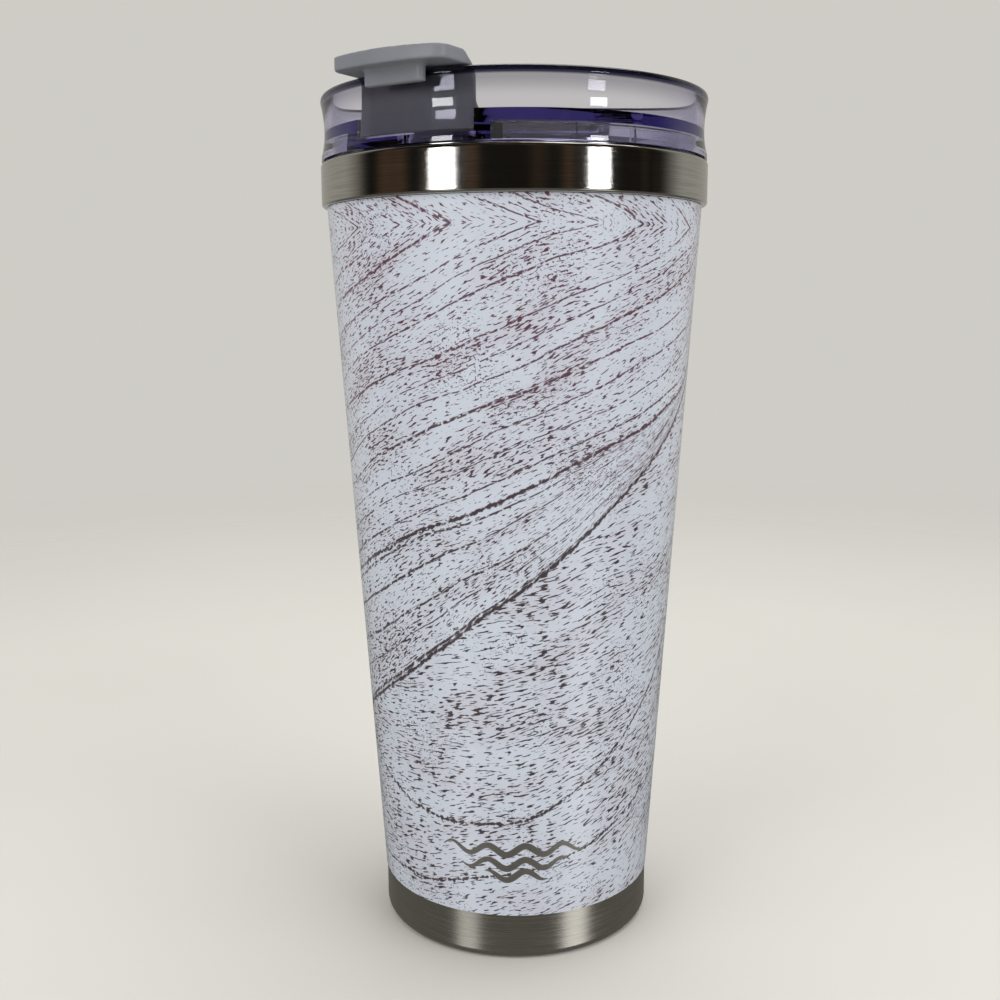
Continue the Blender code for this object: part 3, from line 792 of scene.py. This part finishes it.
def build_pieces():
    """Every piece with its material and body, and materials for the two hidden CAD nodes."""
    middle = (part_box("outer_shell")[0].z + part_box("outer_shell")[1].z) / 2
    polish = (middle * 0.9, middle * 1.1)
    band = steel("steel_shell", (0.58, 0.56, 0.52), 0.30, 1.2, 0.35, polish)
    liner = steel("steel_liner", (0.60, 0.58, 0.55), 0.30, 1.0, 0.5)
    disc = steel("steel_disc", (0.56, 0.54, 0.51), 0.26, 1.0, 0.5)
    bright = steel("steel_bright", (0.62, 0.60, 0.57), 0.16, 0.4, 0.0)
    violet = violet_plastic()
    silicone = moulded("silicone", (0.66, 0.66, 0.70), 0.46, 0.01 * MM)

    shell = turned_from("outer_shell", "shell_steel", passes=2)
    show(shell, band, "mug", "brushed_steel", "outer_shell")
    show(wrap_film(), print_film(), "mug", "wood_print", "printed_wrap")
    show(turned_from("inner_liner", "liner_steel"), liner, "mug", "polished_steel", "inner_liner")
    show(turned_from("outer_bottom", "bottom_dish"), liner, "mug", "brushed_steel", "outer_bottom")
    show(base_cover(), disc, "mug", "brushed_steel", "base_cover")
    mark = steel("steel_mark", (0.62, 0.60, 0.57), 0.50, 0.3, 0.0)
    show(wave_mark(), mark, "mug", "polished_steel")

    show(lid_clear(), violet, "lid", "violet_clear_plastic", "lid_body")
    show(plug_clear(), violet, "lid", "violet_clear_plastic", "plug_ring")
    show(turned_from("lid_gasket", "gasket_silicone"), silicone, "lid", "silicone", "lid_gasket")
    show(pin(), bright, "lid", "polished_steel", "hinge_pin")

    grey = moulded("cool_grey_plastic", (0.172, 0.18, 0.208), 0.34, 0.006 * MM)
    show(flip_cap(), grey, "cap", "cool_grey_plastic", "flip_cap")
    for node, name in (("cap_stopper", "stopper_silicone"), ("vent_seal", "vent_pad_silicone")):
        show(turned_from(node, name, SMALL), silicone, "cap", "silicone", node)

    for node, material in (("vacuum_seal", solder_glass()), ("getter", powder_metal())):
        frame["nodes"][node].data.materials.clear()
        frame["nodes"][node].data.materials.append(material)


# ---------------------------------------------------------------- studio

LIGHTS_AIM = Vector((0.0, 0.0, 0.12))
DAYLIGHT = (0.97, 0.98, 1.0)

# Surroundings, as colours with alpha
PALE_WALL = (0.62, 0.605, 0.565, 1.0)
DIM_CEILING = (0.05, 0.05, 0.06, 1.0)
MIRRORED_WALL = (0.40, 0.39, 0.355, 1.0)
MIRRORED_GROUND = (0.138, 0.135, 0.118, 1.0)
ROOM_SHADOW = (0.012, 0.011, 0.009, 1.0)
ROOM_BROWN = (0.075, 0.048, 0.030, 1.0)

# Shine of the windows on the ground: (degrees right of the camera, cosine at its edge, brightness)
SHINES = ((-42.5, 0.986, 0.85), (53.0, 0.976, 1.30))
SHINE_CORE = 0.998           # cosine within which a shine has its full brightness
SHINE_LEVEL, SHINE_DROP = 0.87, 0.50     # level and downward parts of its direction
SHINE_COLOUR = (1.0, 0.985, 0.94)


def floor():
    """Plain pale floor that fades into the pale surroundings.

    Surfaces don't mirror it. They mirror the world's darker ground instead.
    """
    mesh = bmesh.new()
    bmesh.ops.create_grid(mesh, x_segments=8, y_segments=8, size=4.0)
    obj = new_object("floor", mesh)
    obj.location.z = cad_bounds[0][2]
    g = Graph("floor_pale")
    cloud = g.noise(g.place, 6.0, detail=2.0)
    radius = g.node("ShaderNodeVectorMath", operation="LENGTH")
    g.feed(radius.inputs[0], g.place)
    g.set(Alpha=g.ramp(radius.outputs["Value"], 0.25, 0.75, 1.0, 0.0))
    g.set(Base_Color=g.mix(cloud, (0.56, 0.55, 0.52), (0.60, 0.59, 0.56)))
    g.set(Roughness=0.85, Specular_IOR_Level=0.1)
    obj.data.materials.append(g.material)
    obj.visible_glossy = False


def softbox(name, azimuth_deg, elevation_deg, distance, width, height, watts,
            colour=(1.0, 1.0, 1.0), mirrored=True):
    """Rectangular light aimed at the mug; its azimuth counts from the camera's, to the right."""
    turn_by = VIEW_AZIMUTH + math.radians(azimuth_deg)
    rise = math.radians(elevation_deg)
    level = math.cos(rise)
    direction = Vector((math.sin(turn_by) * level, -math.cos(turn_by) * level, math.sin(rise)))
    light = bpy.data.lights.new(name, "AREA")
    light.shape = "RECTANGLE"
    light.size = width
    light.size_y = height
    light.energy = watts
    light.color = colour
    obj = bpy.data.objects.new(name, light)
    obj.visible_glossy = mirrored
    obj.visible_transmission = mirrored
    obj.location = LIGHTS_AIM + direction * distance
    obj.rotation_euler = direction.to_track_quat("Z", "Y").to_euler()
    bpy.context.scene.collection.objects.link(obj)


def world():
    """Pale surroundings; seen through the clear plastic, they have a dim ceiling.

    Surfaces mirror a greyer wall, a dark room with brown drapes on the camera's side, and a
    dark grey ground with two shines where window light falls on it.
    """
    scene_world = bpy.data.worlds.new("studio")
    bpy.context.scene.world = scene_world
    scene_world.use_nodes = True
    tree = scene_world.node_tree
    background = tree.nodes["Background"]

    def node(kind, inputs=(), **settings):
        made = tree.nodes.new(kind)
        for key, value in settings.items():
            setattr(made, key, value)
        for key, value in inputs:
            if isinstance(value, bpy.types.NodeSocket):
                tree.links.new(value, made.inputs[key])
            else:
                made.inputs[key].default_value = value
        return made

    def towards(direction, start, end):
        """Smooth step from 0 to 1 as a ray turns towards a direction; start and end are cosines."""
        along = node("ShaderNodeVectorMath", ((0, place), (1, direction)), operation="DOT_PRODUCT")
        ends = (("Value", along.outputs["Value"]), ("From Min", start), ("From Max", end))
        return node("ShaderNodeMapRange", ends, interpolation_type="SMOOTHSTEP").outputs[0]

    def times(a, b):
        return node("ShaderNodeMath", ((0, a), (1, b)), operation="MULTIPLY").outputs[0]

    def other(a):
        return node("ShaderNodeMath", ((0, 1.0), (1, a)), operation="SUBTRACT").outputs[0]

    def mixed(share, a, b):
        return node("ShaderNodeMix", (("Factor", share), (6, a), (7, b)), data_type="RGBA").outputs[2]

    place = node("ShaderNodeTexCoord").outputs["Generated"]
    rays = node("ShaderNodeLightPath").outputs
    flat = node("ShaderNodeVectorMath", ((0, place), (1, (2.6, 2.6, 0.25))), operation="MULTIPLY")
    drapes = node("ShaderNodeTexNoise", (("Vector", flat.outputs[0]), ("Scale", 1.5), ("Detail", 2.0)))
    folds = (("Value", drapes.outputs["Fac"]), ("From Min", 0.50), ("From Max", 0.62))
    room = mixed(node("ShaderNodeMapRange", folds).outputs[0], ROOM_SHADOW, ROOM_BROWN)
    indirect = times(other(rays["Is Camera Ray"]), other(rays["Is Diffuse Ray"]))
    wall = mixed(times(towards(UP, 0.16, 0.42), indirect), PALE_WALL, DIM_CEILING)
    mirror = times(rays["Is Glossy Ray"], other(rays["Is Transmission Ray"]))
    behind = mixed(mirror, wall, MIRRORED_WALL)
    colour = mixed(times(towards(TO_CAMERA, -0.45, 0.0), mirror), behind, room)
    low = times(towards(-UP, 0.12, 0.40), mirror)
    colour = mixed(low, colour, MIRRORED_GROUND)
    for azimuth, edge, brightness in SHINES:
        turn_by = VIEW_AZIMUTH + math.radians(azimuth)
        ahead = (math.sin(turn_by) * SHINE_LEVEL, -math.cos(turn_by) * SHINE_LEVEL, -SHINE_DROP)
        shine = (*(part * brightness for part in SHINE_COLOUR), 1.0)
        colour = mixed(times(towards(ahead, edge, SHINE_CORE), mirror), colour, shine)
    tree.links.new(colour, background.inputs["Color"])
    background.inputs["Strength"].default_value = 1.0


def lights():
    """Two windows on the camera's side, an overhead light behind the mug and two unmirrored fills."""
    softbox("window_left", -40.0, 9.0, 0.95, width=0.20, height=0.09, watts=0.8, colour=DAYLIGHT)
    softbox("window_right", 48.0, 9.0, 0.95, width=0.17, height=0.09, watts=0.7, colour=DAYLIGHT)
    softbox("overhead", 150.0, 75.0, 1.20, width=1.0, height=0.8, watts=8.0)
    for name, azimuth in (("fill_left", -50.0), ("fill_right", 55.0)):
        softbox(name, azimuth, 30.0, 1.10, width=0.9, height=0.9, watts=5.0, mirrored=False)


def camera():
    """Camera to the right of the flip cap's lip, above the mug's middle and pitched down a little."""
    level = RIGHT * math.sin(CAMERA_YAW) - TO_CAMERA * math.cos(CAMERA_YAW)
    side = RIGHT * math.cos(CAMERA_YAW) + TO_CAMERA * math.sin(CAMERA_YAW)
    ahead = level * math.cos(CAMERA_PITCH) - UP * math.sin(CAMERA_PITCH)
    top = level * math.sin(CAMERA_PITCH) + UP * math.cos(CAMERA_PITCH)
    x_axis = side * math.cos(CAMERA_ROLL) - top * math.sin(CAMERA_ROLL)
    y_axis = side * math.sin(CAMERA_ROLL) + top * math.cos(CAMERA_ROLL)
    data = bpy.data.cameras.new("camera")
    data.lens = CAMERA_LENS_MM
    data.clip_start = 0.01
    obj = bpy.data.objects.new("camera", data)
    rotation = Matrix((x_axis, y_axis, -ahead)).transposed()
    spot = TO_CAMERA * CAMERA_DISTANCE + UP * CAMERA_HEIGHT
    obj.matrix_world = Matrix.Translation(spot) @ rotation.to_4x4()
    bpy.context.scene.collection.objects.link(obj)
    bpy.context.scene.camera = obj


build_pieces()
floor()
world()
lights()
camera()
bpy.context.scene.view_settings.view_transform = "Standard"
